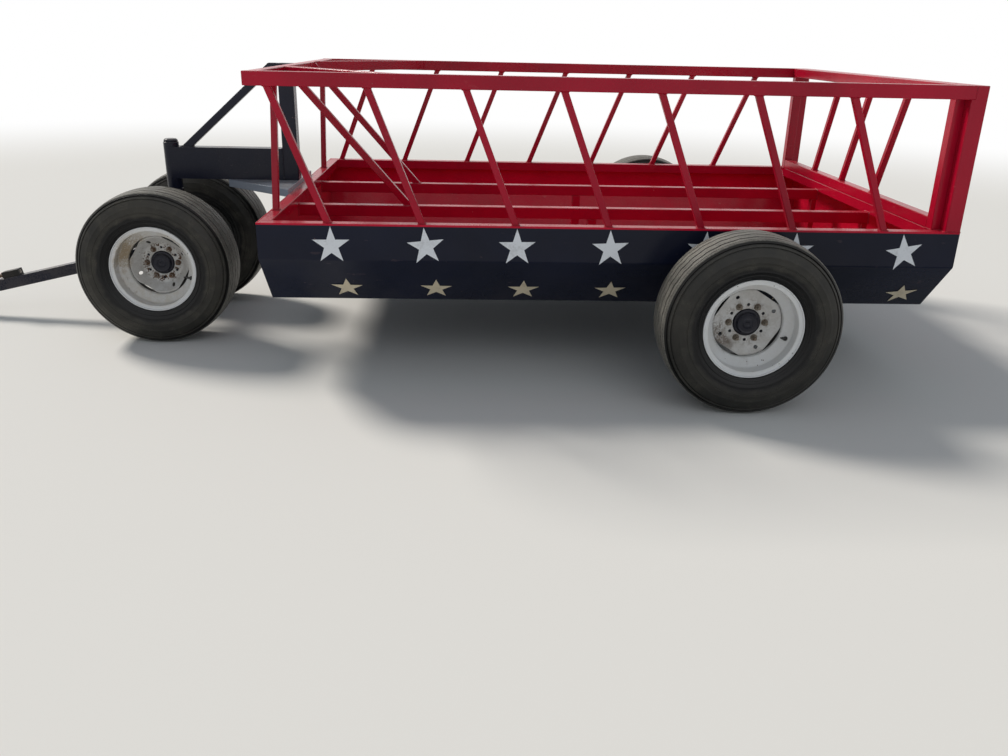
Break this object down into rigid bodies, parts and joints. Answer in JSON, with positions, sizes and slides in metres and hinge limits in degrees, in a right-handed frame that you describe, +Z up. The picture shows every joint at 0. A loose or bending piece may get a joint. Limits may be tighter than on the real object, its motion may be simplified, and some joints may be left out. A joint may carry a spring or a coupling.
{
  "type": "feeder wagon",
  "caption": "Four-wheeled livestock feeder wagon with a folded-sheet trough, slanted-bar hay rack, gooseneck, steered front truck and drop tongue.",
  "frame": {"origin": "on the ground under the middle of the wagon's whole length, on its centre plane", "axes": "+X forward along the wagon towards the hitch, +Y to its left, +Z up"},
  "size_m": [5.134, 2.7264, 1.319],
  "materials": {
    "navy_paint": "glossy",
    "red_paint": "glossy",
    "steel": "satin",
    "black_paint": "satin",
    "tyre_rubber": "matte",
    "white_rims": "glossy",
    "hub_paint": "satin"
  },
  "bodies": {
    "wagon": {"side_panels": "navy_paint", "floor_sheet": "red_paint", "end_walls": "navy_paint", "side_rim_tubes": "red_paint", "end_rim_tubes": "red_paint", "side_top_rails": "red_paint", "end_top_rails": "red_paint", "rack_bars_left": "red_paint", "rack_bars_right": "red_paint", "corner_posts": "red_paint", "end_frame_posts": "red_paint", "end_frame_rails": "red_paint", "end_bars": "red_paint", "front_bars": "red_paint", "bale_runners": "red_paint", "runner_legs": "red_paint", "rack_braces": "red_paint", "rack_stays": "red_paint", "neck_upright": "navy_paint", "neck_beam": "navy_paint", "neck_brace": "navy_paint", "neck_gusset": "navy_paint", "pivot_tube": "navy_paint", "rear_axle_beam": "navy_paint", "rear_axle_risers": "navy_paint", "axle_saddles": "navy_paint", "rear_spindles": "steel"},
    "front_truck": {"kingpin": "navy_paint", "pivot_cap": "navy_paint", "front_axle_beam": "navy_paint", "front_spindles": "steel", "tongue_ears": "navy_paint", "hinge_pin": "steel"},
    "tongue": {"tongue_tube": "navy_paint", "hitch_plates": "black_paint", "pin_keeper": "black_paint", "hitch_pin": "steel"},
    "front_left_wheel": {"tyre_front_left": "tyre_rubber", "wheel_front_left": "white_rims", "hub_front_left": "hub_paint"},
    "front_right_wheel": {"tyre_front_right": "tyre_rubber", "wheel_front_right": "white_rims", "hub_front_right": "hub_paint"},
    "rear_left_wheel": {"tyre_rear_left": "tyre_rubber", "wheel_rear_left": "white_rims", "hub_rear_left": "hub_paint"},
    "rear_right_wheel": {"tyre_rear_right": "tyre_rubber", "wheel_rear_right": "white_rims", "hub_rear_right": "hub_paint"}
  },
  "joints": [
    {"name": "steering", "type": "hinge", "parent": "wagon", "child": "front_truck", "pos_m": [1.061, 0, 0.695], "axis": [0, 0, 1], "range_deg": [-35, 35]},
    {"name": "tongue_lift", "type": "hinge", "parent": "front_truck", "child": "tongue", "pos_m": [1.157, 0, 0.375], "axis": [0, -1, 0], "range_deg": [0, 90]},
    {"name": "front_left_spin", "type": "hinge", "parent": "front_truck", "child": "front_left_wheel", "pos_m": [1.061, 0.366, 0.375], "axis": [0, 1, 0], "continuous": true},
    {"name": "front_right_spin", "type": "hinge", "parent": "front_truck", "child": "front_right_wheel", "pos_m": [1.061, -0.366, 0.375], "axis": [0, 1, 0], "continuous": true},
    {"name": "rear_left_spin", "type": "hinge", "parent": "wagon", "child": "rear_left_wheel", "pos_m": [-1.629, 1.228, 0.375], "axis": [0, 1, 0], "continuous": true},
    {"name": "rear_right_spin", "type": "hinge", "parent": "wagon", "child": "rear_right_wheel", "pos_m": [-1.629, -1.228, 0.375], "axis": [0, 1, 0], "continuous": true}
  ]
}
